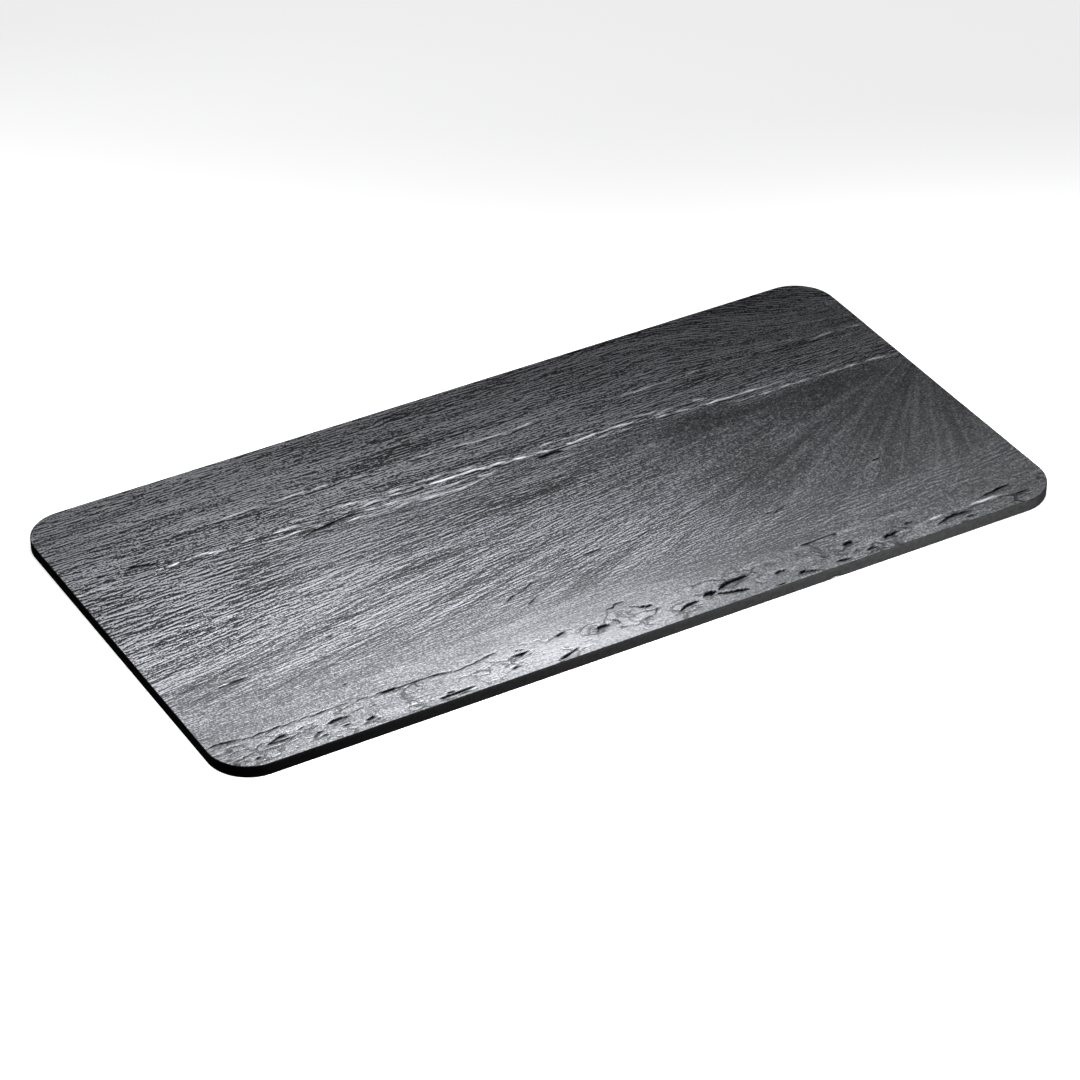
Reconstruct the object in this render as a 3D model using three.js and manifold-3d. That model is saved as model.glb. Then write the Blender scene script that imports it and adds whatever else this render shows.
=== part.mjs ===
// A slate slab: one piece of riven slate with rounded corners and ground edges, lying flat.
// Millimetres, +Z up. The origin is the middle of the flat underside. +X runs along the length,
// and -Y is the front, the long edge beside which the top is pitted.

import * as THREE from 'three';
import { mergeVertices } from 'three/addons/utils/BufferGeometryUtils.js';
import Module from 'manifold-3d';

// Driving dimensions of the slab
const LENGTH = 400;
const WIDTH = 200;
const THICKNESS = 5.6;
const CORNER_RADIUS = 19;
const TOP_ARRIS = 0.6;
const BOTTOM_ARRIS = 0.3;
const SLATE_COLOUR = 0x3b3d41;

// The top is a net of points: rows along the length, closer together where the stone is more broken.
// The rows beside the front and back edges end on the rounded corners, one row per step of the arc.
const CORNER_STEPS = 9;
const FRONT_SPACING = 6.5;
const BACK_SPACING = 11;
const ZONES = [
  { to: -74, rows: 3, spacing: 6.5 },
  { to: 14, rows: 10, spacing: 9.5 },
  { to: 24, rows: 2, spacing: 7 },
  { to: 44, rows: 12, spacing: 5.4 },
  { to: 54, rows: 2, spacing: 7 },
  { to: 62, rows: 5, spacing: 6.5 },
  { to: WIDTH / 2 - CORNER_RADIUS, rows: 3, spacing: 9 },
];

// The main break runs the whole length of the slab, drifting towards the front on its way to the right.
// The rows of points near it follow it.
const MAIN_BREAK = [[-200, 40], [-100, 39], [0, 37], [60, 36], [120, 32.5], [200, 29]];
const MAIN_BREAK_Y = 36;
const BREAK_REACH = 26;

// Broken edges of layers. Each runs through its points, and the surface steps down towards the front there.
const LEDGES = [
  { line: [[-199, 39.5], [-170, 40.5], [-124, 40], [-96, 38.6]], drop: 0.43 },
  { line: [[-108, 35], [-72, 35.7]], drop: 0.3 },
  { line: [[-60, 39], [-25, 38.6], [-4, 37.4]], drop: 0.53 },
  { line: [[-62, 35], [-35, 33.6], [-8, 33]], drop: 0.35 },
  { line: [[2, 37], [40, 36.8], [82, 36.2]], drop: 0.53 },
  { line: [[84, 34.4], [104, 33], [124, 32.6]], drop: 0.5 },
  { line: [[128, 31.8], [152, 31]], drop: 0.35 },
  { line: [[18, 28], [48, 28.6]], drop: 0.22 },
  { line: [[116, 28.4], [158, 27.8], [194, 26]], drop: 0.38 },
  { line: [[-142, 60], [-100, 60.4], [-58, 60]], drop: 0.28 },
  { line: [[-22, 59], [14, 58.4], [39, 58]], drop: 0.28 },
  { line: [[52, 57.6], [108, 57.8]], drop: 0.3 },
  { line: [[112, 57], [162, 56.6]], drop: 0.25 },
  { line: [[168, 54.4], [199, 54]], drop: 0.38 },
  { line: [[-122, -3], [-104, -2.4], [-86, -3.2]], drop: 0.25 },
  { line: [[20, -30], [42, -21], [56, -17]], drop: 0.18 },
  { line: [[133, -91], [148, -90.4], [166, -90.8]], drop: 0.38 },
];
const LEDGE_FACE = 1.3;
const LEDGE_TAPER = 9;
const CREST_REACH = 17;
const FOOT_REACH = 6;
const FOOT_SHARE = 0.45;

// Low raised flakes and knots: place, size along the length and across, and height
const FLAKES = [
  { x: 125, y: -79, long: 13, across: 3.4, high: 0.3 },
  { x: 175, y: 28.5, long: 9, across: 4, high: 0.22 },
  { x: -32, y: 43.4, long: 8, across: 3, high: 0.2 },
  { x: -9, y: -84.5, long: 22, across: 15, high: 0.18 },
  { x: 121, y: -91, long: 6, across: 3.4, high: 0.25 },
];

// Slow swells of the cleft face: length of a wave, the way it runs, height and where it starts
const SWELLS = [
  { wave: 171, turn: 62, high: 0.09, start: 0.4 },
  { wave: 94, turn: 101, high: 0.06, start: 2.1 },
  { wave: 53, turn: 84, high: 0.05, start: 4.4 },
  { wave: 47, turn: 8, high: 0.03, start: 1.3 },
];

// Behind the main break the grain makes low ribs along the length.
// In front of it the grain opens like a fan from a point beyond the right end.
const RIB_WAVE = 12.5;
const RIB_WANDER = 1.6;
const RIB_HEIGHT = 0.06;
const RIBS_FROM = 44;
const FAN_CENTRE = [215, 30];
const FAN_RAYS = 26;
const FAN_WANDER = 1.1;
const FAN_HEIGHT = 0.06;
const GRAIN_DRIFT = 70;
const GRAIN_FADE = 12;

// Near the ground edges the top runs out nearly level
const EDGE_BAND = 9;
const EDGE_SHARE = 0.45;

// Pits where the top has flaked away: place, size along the length and across, depth, turn in degrees
const TOP_PITS = [
  { x: -172, y: -88.6, long: 12, across: 4, deep: 0.4, turn: 4 },
  { x: -157, y: -94, long: 6, across: 4, deep: 0.35, turn: 30 },
  { x: -146, y: -89.4, long: 10, across: 4.4, deep: 0.5, turn: -8 },
  { x: -134, y: -95.5, long: 8, across: 3.4, deep: 0.45, turn: 12 },
  { x: -118, y: -82, long: 12, across: 2.6, deep: 0.35, turn: -3 },
  { x: -95, y: -97, long: 17, across: 2.8, deep: 0.5, turn: 2 },
  { x: -62, y: -88, long: 10, across: 4.2, deep: 0.5, turn: -14 },
  { x: -40, y: -83.6, long: 7, across: 2.6, deep: 0.35, turn: 8 },
  { x: -44, y: -97, long: 11, across: 2.6, deep: 0.35, turn: 20 },
  { x: -23, y: -88, long: 7, across: 4, deep: 0.6, turn: 10 },
  { x: 0, y: -84.4, long: 7, across: 2.6, deep: 0.5, turn: -12 },
  { x: 15.5, y: -92.6, long: 9, across: 3.2, deep: 0.55, turn: 14 },
  { x: 27.5, y: -90, long: 8, across: 3.8, deep: 0.8, turn: 24 },
  { x: 40, y: -87.4, long: 16, across: 4.2, deep: 0.65, turn: 6 },
  { x: 37, y: -93.4, long: 13, across: 2.8, deep: 0.4, turn: -16 },
  { x: 61, y: -91.2, long: 6, across: 3, deep: 0.5, turn: 16 },
  { x: 71, y: -97, long: 9, across: 3, deep: 0.45, turn: -8 },
  { x: 97, y: -89, long: 7, across: 4, deep: 0.6, turn: 34 },
  { x: 89, y: -97.6, long: 6, across: 2.6, deep: 0.4, turn: 0 },
  { x: 115.5, y: -92.4, long: 8, across: 4, deep: 0.5, turn: 18 },
  { x: 147, y: -94, long: 16, across: 3.4, deep: 0.35, turn: 2 },
  { x: 174, y: -87, long: 14, across: 3, deep: 0.3, turn: 4 },
  { x: -168, y: 44, long: 15, across: 7, deep: 0.4, turn: -14 },
  { x: 23, y: 33.2, long: 11, across: 2.8, deep: 0.6, turn: 0 },
  { x: -87, y: 31.5, long: 30, across: 6.5, deep: 0.3, turn: 10 },
  { x: -170, y: -46.5, long: 16, across: 3.4, deep: 0.3, turn: 3 },
  { x: 1, y: -39.7, long: 9, across: 2.4, deep: 0.4, turn: 4 },
];

// Shallow scars on the underside, which stays flat between them
const UNDER_SCARS = [
  { x: -132, y: 52, long: 64, across: 22, deep: 0.45, turn: 6 },
  { x: 118, y: -58, long: 78, across: 18, deep: 0.4, turn: -4 },
  { x: -78, y: -84, long: 52, across: 12, deep: 0.5, turn: 3 },
  { x: 152, y: 66, long: 40, across: 15, deep: 0.45, turn: -12 },
];

// How far the outline of a pit or scar wanders from an ellipse, as a share of its size
const RAGGEDNESS = 0.14;

// A chip out of the lower front edge
const CHIP = { x: 83.2, long: 4.6, deep: 0.9, high: 1.3, turn: 20 };

// Points closer than this are one point
const SAME_POINT = 1e-5;

const degrees = THREE.MathUtils.degToRad;
const smooth = THREE.MathUtils.smoothstep;

// Y of a line of points at a given x, straight between the points and level past its ends
function lineAt(points, x) {
  const [first, last] = [points[0], points[points.length - 1]];
  if (x <= first[0]) return first[1];
  if (x >= last[0]) return last[1];
  const next = points.findIndex((point) => point[0] > x);
  const [from, to] = [points[next - 1], points[next]];
  return THREE.MathUtils.mapLinear(x, from[0], to[0], from[1], to[1]);
}

// Height that a ledge adds: up to its drop just behind its line, and a shallow trough at its foot
function ledgeHeight({ line, drop }, x, y) {
  const [start, end] = [line[0][0], line[line.length - 1][0]];
  const strength = smooth(x, start - LEDGE_TAPER, start) * (1 - smooth(x, end, end + LEDGE_TAPER));
  if (strength === 0) return 0;
  const behind = y - lineAt(line, x);
  const rise = smooth(behind, -LEDGE_FACE, 0);
  const crest = Math.exp(-Math.max(behind, 0) / CREST_REACH);
  const foot = Math.exp(Math.min(behind, 0) / FOOT_REACH);
  const shape = rise * crest * (1 - FOOT_SHARE) - (1 - rise) * foot * FOOT_SHARE;
  return drop * strength * shape;
}

// Height of a low rounded flake, nothing outside its ellipse
function flakeHeight({ x: atX, y: atY, long, across, high }, x, y) {
  const from = ((x - atX) / (long / 2)) ** 2 + ((y - atY) / (across / 2)) ** 2;
  return high * Math.max(0, 1 - from * from);
}

// Height of the grain: ribs along the length behind the main break, rays of the fan before it
function grainHeight(x, y) {
  const drift = Math.sin(x / GRAIN_DRIFT);
  const ribs = Math.sin((2 * Math.PI * y) / RIB_WAVE + RIB_WANDER * drift);
  const ray = Math.atan2(FAN_CENTRE[1] - y, FAN_CENTRE[0] - x);
  const fan = Math.sin(FAN_RAYS * ray + FAN_WANDER * drift);
  const ribShare = smooth(y, RIBS_FROM - GRAIN_FADE, RIBS_FROM + GRAIN_FADE);
  const fanShare = 1 - smooth(y, MAIN_BREAK_Y - 2 * GRAIN_FADE, MAIN_BREAK_Y);
  return RIB_HEIGHT * ribShare * ribs + FAN_HEIGHT * fanShare * fan;
}

// Distance from a place on the top to the nearest edge, taking the corners as square
function edgeDistance(x, y) {
  return Math.min(LENGTH / 2 - Math.abs(x), WIDTH / 2 - Math.abs(y));
}

// Height of the whole top above the underside
function topHeight(x, y) {
  const wave = (swell) => {
    const along = x * Math.cos(degrees(swell.turn)) + y * Math.sin(degrees(swell.turn));
    return swell.high * Math.sin((2 * Math.PI * along) / swell.wave + swell.start);
  };
  const sum = (list, height) => list.reduce((total, item) => total + height(item, x, y), 0);
  const relief = sum(SWELLS, wave) + sum(LEDGES, ledgeHeight) + sum(FLAKES, flakeHeight) + grainHeight(x, y);
  const share = EDGE_SHARE + (1 - EDGE_SHARE) * smooth(edgeDistance(x, y), 0, EDGE_BAND);
  return THICKNESS + relief * share;
}

// The top ends at the inner line of its arris, a rounded rectangle this far from the middle
const TOP_RADIUS = CORNER_RADIUS - TOP_ARRIS;
const CORNER_X = LENGTH / 2 - CORNER_RADIUS;
const CORNER_Y = WIDTH / 2 - CORNER_RADIUS;

// Half the length of the top at a given y, shorter where the corners round off
function halfLengthAt(y) {
  const past = Math.min(Math.max(Math.abs(y) - CORNER_Y, 0), TOP_RADIUS);
  return CORNER_X + Math.sqrt(TOP_RADIUS ** 2 - past ** 2);
}

// Rows that lie near the main break bend to follow it
function bentY(x, y) {
  const nearness = 1 - smooth(Math.abs(y - MAIN_BREAK_Y), 0, BREAK_REACH);
  return y + (lineAt(MAIN_BREAK, x) - MAIN_BREAK_Y) * nearness;
}

// One row of points from the left edge to the right
function rowOfPoints(y, spacing) {
  const half = halfLengthAt(y);
  const steps = Math.round((2 * half) / spacing);
  const row = [];
  for (let step = 0; step <= steps; step++) {
    const x = -half + (2 * half * step) / steps;
    const rowY = bentY(x, y);
    row.push(new THREE.Vector3(x, rowY, topHeight(x, rowY)));
  }
  return row;
}

// All rows from the front edge to the back
function allRows() {
  const rows = [];
  for (let step = 0; step <= CORNER_STEPS; step++) {
    const turn = (Math.PI / 2) * (step / CORNER_STEPS);
    rows.push(rowOfPoints(-CORNER_Y - TOP_RADIUS * Math.cos(turn), FRONT_SPACING));
  }
  let from = -CORNER_Y;
  for (const zone of ZONES) {
    for (let row = 1; row <= zone.rows; row++) {
      rows.push(rowOfPoints(from + ((zone.to - from) * row) / zone.rows, zone.spacing));
    }
    from = zone.to;
  }
  for (let step = 1; step <= CORNER_STEPS; step++) {
    const turn = (Math.PI / 2) * (step / CORNER_STEPS);
    rows.push(rowOfPoints(CORNER_Y + TOP_RADIUS * Math.sin(turn), BACK_SPACING));
  }
  return rows;
}

// Triangles between two neighbouring rows, whose points need not pair up
function stitchRows(front, back, addTriangle) {
  let [i, j] = [0, 0];
  while (i < front.length - 1 || j < back.length - 1) {
    const frontNext = i < front.length - 1 ? front[i + 1].x : Infinity;
    const backNext = j < back.length - 1 ? back[j + 1].x : Infinity;
    if (frontNext <= backNext) {
      addTriangle(front[i], front[i + 1], back[j]);
      i++;
    } else {
      addTriangle(front[i], back[j + 1], back[j]);
      j++;
    }
  }
}

// The rim of the rows, anticlockwise seen from above
function rimOf(rows) {
  const inner = rows.slice(1, -1);
  const right = inner.map((row) => row[row.length - 1]);
  const left = inner.map((row) => row[0]).reverse();
  return [...rows[0], ...right, ...rows[rows.length - 1].toReversed(), ...left];
}

// Way out of the slab at a point of the rim: square to a straight edge, radial at a corner
function outwardAt(point) {
  const pastX = Math.max(Math.abs(point.x) - CORNER_X, 0) * Math.sign(point.x);
  const pastY = Math.max(Math.abs(point.y) - CORNER_Y, 0) * Math.sign(point.y);
  return new THREE.Vector2(pastX, pastY).normalize();
}

// A copy of the rim, moved outwards and set to a height
function rimCopy(rim, outwards, heightOf) {
  return rim.map((point) => {
    const way = outwardAt(point).multiplyScalar(outwards);
    return new THREE.Vector3(point.x + way.x, point.y + way.y, heightOf(point));
  });
}

// The closed blank: the riven top, its arris, the upright edge, the lower arris and the flat underside
function blankGeometry() {
  const corners = [];
  const addTriangle = (...triangle) => triangle.forEach((point) => corners.push(...point.toArray()));
  const rows = allRows();
  for (let row = 1; row < rows.length; row++) {
    stitchRows(rows[row - 1], rows[row], addTriangle);
  }
  const rim = rimOf(rows);
  const rings = [
    rim,
    rimCopy(rim, TOP_ARRIS, (point) => point.z - TOP_ARRIS),
    rimCopy(rim, TOP_ARRIS, () => BOTTOM_ARRIS),
    rimCopy(rim, TOP_ARRIS - BOTTOM_ARRIS, () => 0),
  ];
  for (let ring = 1; ring < rings.length; ring++) {
    const [upper, lower] = [rings[ring - 1], rings[ring]];
    upper.forEach((point, k) => {
      const next = (k + 1) % upper.length;
      addTriangle(point, lower[k], lower[next]);
      addTriangle(point, lower[next], upper[next]);
    });
  }
  const underside = rings[rings.length - 1];
  const middle = new THREE.Vector3(0, 0, 0);
  underside.forEach((point, k) => addTriangle(middle, underside[(k + 1) % underside.length], point));
  const geometry = new THREE.BufferGeometry();
  geometry.setAttribute('position', new THREE.Float32BufferAttribute(corners, 3));
  return geometry;
}

// A flaked hollow: a faceted lens of ragged outline, which bites into the face that it is centred on
function hollowGeometry({ x, y, long, across, deep, turn }, z, fineness) {
  const lens = new THREE.IcosahedronGeometry(1, fineness);
  const points = lens.attributes.position;
  for (let k = 0; k < points.count; k++) {
    const [atX, atY] = [points.getX(k), points.getY(k)];
    const around = Math.atan2(atY, atX);
    const stretch = 1 + RAGGEDNESS * (Math.sin(3 * around + x) + Math.sin(2 * around + y));
    points.setXY(k, atX * stretch, atY * stretch);
  }
  lens.scale(long / 2, across / 2, deep);
  lens.rotateZ(degrees(turn));
  lens.translate(x, y, z);
  return lens;
}

// The chip, a coarse bite out of the lower front edge
function chipGeometry() {
  const bite = new THREE.IcosahedronGeometry(1, 0);
  bite.rotateY(degrees(CHIP.turn));
  bite.scale(CHIP.long / 2, CHIP.deep, CHIP.high);
  bite.translate(CHIP.x, -WIDTH / 2, 0);
  return bite;
}

const wasm = await Module();
wasm.setup();

// A closed geometry as a solid that can be cut
function solidOf(geometry) {
  const bare = geometry.clone();
  bare.deleteAttribute('normal');
  bare.deleteAttribute('uv');
  const merged = mergeVertices(bare, SAME_POINT);
  return new wasm.Manifold(new wasm.Mesh({
    numProp: 3,
    vertProperties: new Float32Array(merged.attributes.position.array),
    triVerts: new Uint32Array(merged.index.array),
  }));
}

// A solid as a geometry again
function geometryOf(solid) {
  const { vertProperties, triVerts } = solid.getMesh();
  const geometry = new THREE.BufferGeometry();
  geometry.setAttribute('position', new THREE.BufferAttribute(new Float32Array(vertProperties), 3));
  geometry.setIndex(new THREE.BufferAttribute(new Uint32Array(triVerts), 1));
  geometry.computeVertexNormals();
  return geometry;
}

// The slab: the blank with its pits, the scars of its underside and the chip cut away
function slabMesh() {
  const hollows = [
    ...TOP_PITS.map((pit) => hollowGeometry(pit, topHeight(pit.x, pit.y), 0)),
    ...UNDER_SCARS.map((scar) => hollowGeometry(scar, 0, 1)),
    chipGeometry(),
  ];
  const slab = hollows.reduce((solid, hollow) => solid.subtract(solidOf(hollow)), solidOf(blankGeometry()));
  const slate = new THREE.MeshStandardMaterial({ color: SLATE_COLOUR, roughness: 0.5, metalness: 0 });
  const mesh = new THREE.Mesh(geometryOf(slab), slate);
  mesh.name = 'slate_slab';
  return mesh;
}

const group = new THREE.Group();
group.add(slabMesh());
export default group;
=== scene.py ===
# %% [markdown]
# # A slab of slate
#
# Slate splits along flat planes. This slab was split to thickness, cut to a rectangle with round
# corners, and ground along its edges. So it has two kinds of surface. The riven faces show the
# grain of the stone, the broken edges of layers, pits and hairline cracks. The ground edge is plain,
# dark and matt. The lesson makes both as one closed mesh and then gives each its own finish.

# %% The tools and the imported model
import math
import bpy
import numpy as np
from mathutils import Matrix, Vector


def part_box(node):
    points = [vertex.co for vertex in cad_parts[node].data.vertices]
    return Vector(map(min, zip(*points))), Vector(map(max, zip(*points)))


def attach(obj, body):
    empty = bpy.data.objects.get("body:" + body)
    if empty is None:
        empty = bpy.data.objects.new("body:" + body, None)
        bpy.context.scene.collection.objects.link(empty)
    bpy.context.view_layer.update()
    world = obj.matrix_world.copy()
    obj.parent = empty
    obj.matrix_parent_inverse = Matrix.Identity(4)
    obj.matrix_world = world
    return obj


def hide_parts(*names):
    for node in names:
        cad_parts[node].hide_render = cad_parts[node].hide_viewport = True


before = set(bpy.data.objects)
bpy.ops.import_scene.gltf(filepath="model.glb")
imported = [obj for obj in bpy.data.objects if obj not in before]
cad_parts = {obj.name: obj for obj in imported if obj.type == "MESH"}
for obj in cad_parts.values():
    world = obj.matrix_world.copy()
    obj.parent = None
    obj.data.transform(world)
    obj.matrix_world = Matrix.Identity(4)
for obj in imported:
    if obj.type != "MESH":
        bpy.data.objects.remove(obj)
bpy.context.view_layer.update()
MM = 0.001
SLAB = "slate_slab"
slab_low, slab_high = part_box(SLAB)
print("packed nodes:", sorted(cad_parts))

# %% [markdown]
# ## The camera
#
# The slab is seen from its front left corner, from far away with a long lens, because its opposite
# edges look nearly parallel. The position is given as a turn, a lift and a distance from the point
# that the camera looks at. A camera that looks along its own -Z is turned by `to_track_quat`, which
# keeps the picture level.

# %% The camera
CAMERA_TURN = math.radians(-30.142)
CAMERA_LIFT = math.radians(34.853)
CAMERA_DISTANCE = 1.8017
CAMERA_TARGET = Vector((-0.0138, -0.0209, 0.0056))
CAMERA_LENS_MM = 142.85
SENSOR_MM = 36

camera_data = bpy.data.cameras.new("camera")
camera_data.lens = CAMERA_LENS_MM
camera_data.sensor_width = SENSOR_MM
camera_data.clip_end = 50
camera = bpy.data.objects.new("camera", camera_data)
to_camera = Vector((
    math.sin(CAMERA_TURN) * math.cos(CAMERA_LIFT),
    -math.cos(CAMERA_TURN) * math.cos(CAMERA_LIFT),
    math.sin(CAMERA_LIFT),
))
camera.location = CAMERA_TARGET + to_camera * CAMERA_DISTANCE
camera.rotation_euler = (-to_camera).to_track_quat("-Z", "Y").to_euler()
bpy.context.scene.collection.objects.link(camera)
bpy.context.scene.camera = camera
print("camera at", [round(value, 3) for value in camera.location])

# %% [markdown]
# ## The outline
#
# Everything on the stone is given in millimetres, with x along the length, y from the front edge to
# the back one and 0 in the middle. The length, the width and the highest point come from the packed
# model. The top itself ends a little inside the outline, where the small rounding of the edge, its
# arris, begins. The stone is ground nearly sharp there, so the arris is a quarter of a millimetre:
# wide enough for a thin line of its own, and too narrow to show as a band.

# %% Sizes in millimetres
LENGTH, WIDTH, HIGHEST = ((slab_high - slab_low) / MM)[:]
THICKNESS = 5.6
CORNER_RADIUS = 19
TOP_ARRIS = 0.25
BOTTOM_ARRIS = 0.3
TOP_RADIUS = CORNER_RADIUS - TOP_ARRIS
CORNER_X = LENGTH / 2 - CORNER_RADIUS
CORNER_Y = WIDTH / 2 - CORNER_RADIUS
print(f"slab {LENGTH:.1f} x {WIDTH:.1f} mm, highest point {HIGHEST:.2f} mm")

# %% [markdown]
# ## The net of points
#
# A height map needs a net of points. Its rows run along the length, as the ledges and cracks of this
# stone mostly do, so that a few close rows draw a ledge sharply. The rows are closest beside the
# front edge, where the pits are, and at the long break behind the middle. The columns are closest
# near the middle, where the cracks turn across the slab. Rows near the break bend to follow it. At
# the round corners each row ends on the arc, so the net needs no trimming. An even grid with a
# Displace modifier would be quicker to set up, but it wastes its points where the stone is plain.

# %% Rows and columns
COLUMN_ZONES = [(-0.13, 98), (0.24, 96), (1, 86)]
FRONT_ARC_ROWS = 44
BACK_ARC_ROWS = 30
ROW_ZONES = [(-74, 12), (14, 88), (24, 12), (46, 44), (53, 8), (62, 18), (CORNER_Y, 20)]
MAIN_BREAK = [(-200, 40), (-100, 39), (0, 37), (60, 36), (120, 32.5), (200, 29)]
MAIN_BREAK_Y = 36
BREAK_REACH = 26


def smooth(value, start, end):
    """An S-curve: 0 before start, 1 past end, and 3t^2 - 2t^3 at the share t of the way between."""
    share = np.clip((value - start) / (end - start), 0, 1)
    return share * share * (3 - 2 * share)


def line_at(points, x):
    """Y of a line of points at x, straight between the points and level past its ends."""
    xs, ys = zip(*points)
    return np.interp(x, xs, ys)


def row_heights():
    """Y of every row: equal steps of angle on the corner arcs, equal steps of length in each zone."""
    front = -CORNER_Y - TOP_RADIUS * np.cos(np.linspace(0, np.pi / 2, FRONT_ARC_ROWS + 1))
    back = CORNER_Y + TOP_RADIUS * np.sin(np.linspace(0, np.pi / 2, BACK_ARC_ROWS + 1))
    rows, start = [front], -CORNER_Y
    for end, count in ROW_ZONES:
        rows.append(np.linspace(start, end, count + 1)[1:])
        start = end
    return np.concatenate(rows + [back[1:]])


def column_shares():
    """Place of every column as a share of the half length: equal steps in each zone."""
    columns, start = [np.array([-1.0])], -1.0
    for end, count in COLUMN_ZONES:
        columns.append(np.linspace(start, end, count + 1)[1:])
        start = end
    return np.concatenate(columns)


def net_of_points():
    """The net as two arrays. x is the share u of the half length at that row, where the half length is
    CORNER_X + sqrt(TOP_RADIUS^2 - past^2) and past is how far the row is beyond the corner's centre.
    y is the row's own, moved with the main break by an S-curve of its nearness to it."""
    u, row = np.meshgrid(column_shares(), row_heights())
    past = np.clip(np.abs(row) - CORNER_Y, 0, TOP_RADIUS)
    x = u * (CORNER_X + np.sqrt(TOP_RADIUS ** 2 - past ** 2))
    nearness = 1 - smooth(np.abs(row - MAIN_BREAK_Y), 0, BREAK_REACH)
    return x, row + (line_at(MAIN_BREAK, x) - MAIN_BREAK_Y) * nearness


NET_X, NET_Y = net_of_points()
print("net of", NET_X.shape[0], "rows and", NET_X.shape[1], "columns")

# %% [markdown]
# ## The grain
#
# The grain is what makes this stone look like slate. Behind the main break it runs along the length,
# and near the back right corner it falls away to the right. In front of the break it opens like a fan
# from a point beyond the right end. Noise can be drawn out along such lines if it is worked out in
# coordinates that run along and across them: x and a bent y for the straight grain, and distance and
# angle for the fan. The mesh keeps both pairs as attributes, so the finish draws its finest streaks
# along the same lines.

# %% Coordinates along and across the grain
FAN_X, FAN_Y = 215, 30
FAN_SPAN = 290
NEAR_SPAN = 120
NEAR_ZONE = (110, 210)
FALL_FROM, FALL_BEND, FALL_SLOPE = 95, 55, 0.6
FALL_ZONE = (40, 82)
CLIMB_SLOPE = 0.08
CLIMB_BACK, CLIMB_FRONT = (-20, 45), (-95, -40)
FAN_BORDER, FAN_BORDER_SOFT, FAN_BORDER_WANDER = 6, 5, 4
FAN_FRONT = (-80, -45)
LATTICE = 256
STRAIGHT_RIPPLES = [(0.5, 26, 8, 1), (0.15, 9, 4, 2)]
FAN_RIPPLES = [(0.5, 24, 9, 3), (0.2, 9, 5, 4)]


def lattice_noise(x, y, seed):
    """Smooth noise from -1 to 1: a random height at each whole x and y, blended by an S-curve between."""
    heights = np.random.default_rng(seed).uniform(-1, 1, (LATTICE, LATTICE))
    left, low = np.floor(x).astype(int), np.floor(y).astype(int)
    across, up = smooth(x - left, 0, 1), smooth(y - low, 0, 1)

    def corner(i, j):
        """The random height i steps to the right and j steps up, repeated every LATTICE steps."""
        return heights[(left + i) % LATTICE, (low + j) % LATTICE]

    front = corner(0, 0) * (1 - across) + corner(1, 0) * across
    back = corner(0, 1) * (1 - across) + corner(1, 1) * across
    return front * (1 - up) + back * up


def ripples(x, y, sizes):
    """The sum of a few noises, each given by its height, its length, its width and its seed."""
    return sum(high * lattice_noise(x / long, y / across, seed) for high, long, across, seed in sizes)


def straight_grain(x, y):
    """Along is x. Across is y plus a fall, less a climb, plus ripples. The fall is FALL_SLOPE * b^2 /
    (b + FALL_BEND), b being how far x is past FALL_FROM, and acts behind the break only. The climb is
    CLIMB_SLOPE * x and acts in the front half. So lines of equal across fall away at the back right
    corner, climb a little before the break, and bend and pinch as real grain does."""
    beyond = np.maximum(x - FALL_FROM, 0)
    fall = FALL_SLOPE * beyond ** 2 / (beyond + FALL_BEND) * smooth(y, *FALL_ZONE)
    climb = CLIMB_SLOPE * x * (1 - smooth(y, *CLIMB_BACK)) * smooth(y, *CLIMB_FRONT)
    return x, y + fall - climb + ripples(x, y, STRAIGHT_RIPPLES)


def fan_grain(x, y):
    """Along is the distance to the fan's centre. Across is the angle round it times FAN_SPAN, the
    distance at which it is in millimetres, rippled by slow noise."""
    along = np.hypot(FAN_X - x, FAN_Y - y)
    ripple = ripples(x, y, FAN_RIPPLES) * FAN_SPAN / (along + 60)
    return along, np.arctan2(FAN_Y - y, FAN_X - x) * FAN_SPAN + ripple


def fan_share(x, y):
    """1 in front of the main break and 0 behind it, by an S-curve over a border that a slow noise
    makes patchy, times a second S-curve that dies away to the front."""
    border = line_at(MAIN_BREAK, x) - FAN_BORDER + FAN_BORDER_WANDER * lattice_noise(x / 18, y / 7, 5)
    in_front = 1 - smooth(y, border - FAN_BORDER_SOFT, border + FAN_BORDER_SOFT)
    return in_front * smooth(y, *FAN_FRONT)


def near_share(x, y):
    """1 less an S-curve of the distance to the fan's centre. Near the centre the rays lie so close
    that wider ones are drawn."""
    return 1 - smooth(np.hypot(FAN_X - x, FAN_Y - y), *NEAR_ZONE)


def grain_noise(x, y, long, across, seed):
    """Noise in streaks along the grain: lattice noise in the straight pair and in the fan's pair, the
    latter once at its own width and once widened near the centre, blended by the two shares."""
    straight_along, straight_across = straight_grain(x, y)
    fan_along, fan_across = fan_grain(x, y)
    straight = lattice_noise(straight_along / long, straight_across / across, seed)
    far = lattice_noise(fan_along / long, fan_across / across, seed + 1)
    near = lattice_noise(fan_along / long, fan_across * NEAR_SPAN / FAN_SPAN / across, seed + 2)
    fan = far + (near - far) * near_share(x, y)
    return straight + (fan - straight) * fan_share(x, y)


print("grain noise of the net:", grain_noise(NET_X, NET_Y, 16, 2.6, 20).std().round(3))

# %% [markdown]
# ## Ledges, flakes and swells
#
# When slate splits, some layers let go before others, and their broken edges stand as ledges. Each
# ledge is a list of a few points and a drop. The surface rises just behind the line, sinks back
# slowly behind it, and has a shallow trough at the foot. A raised flake is given by its middle, its
# length, width and height, and a long wave, which bends the whole face a little, by its length, its
# direction in degrees, its height and where it starts. Sculpting by hand would be freer, but numbers
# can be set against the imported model, which has the same forms. Only the wandering of the lines is
# added here, because a real break is never straight.

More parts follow.
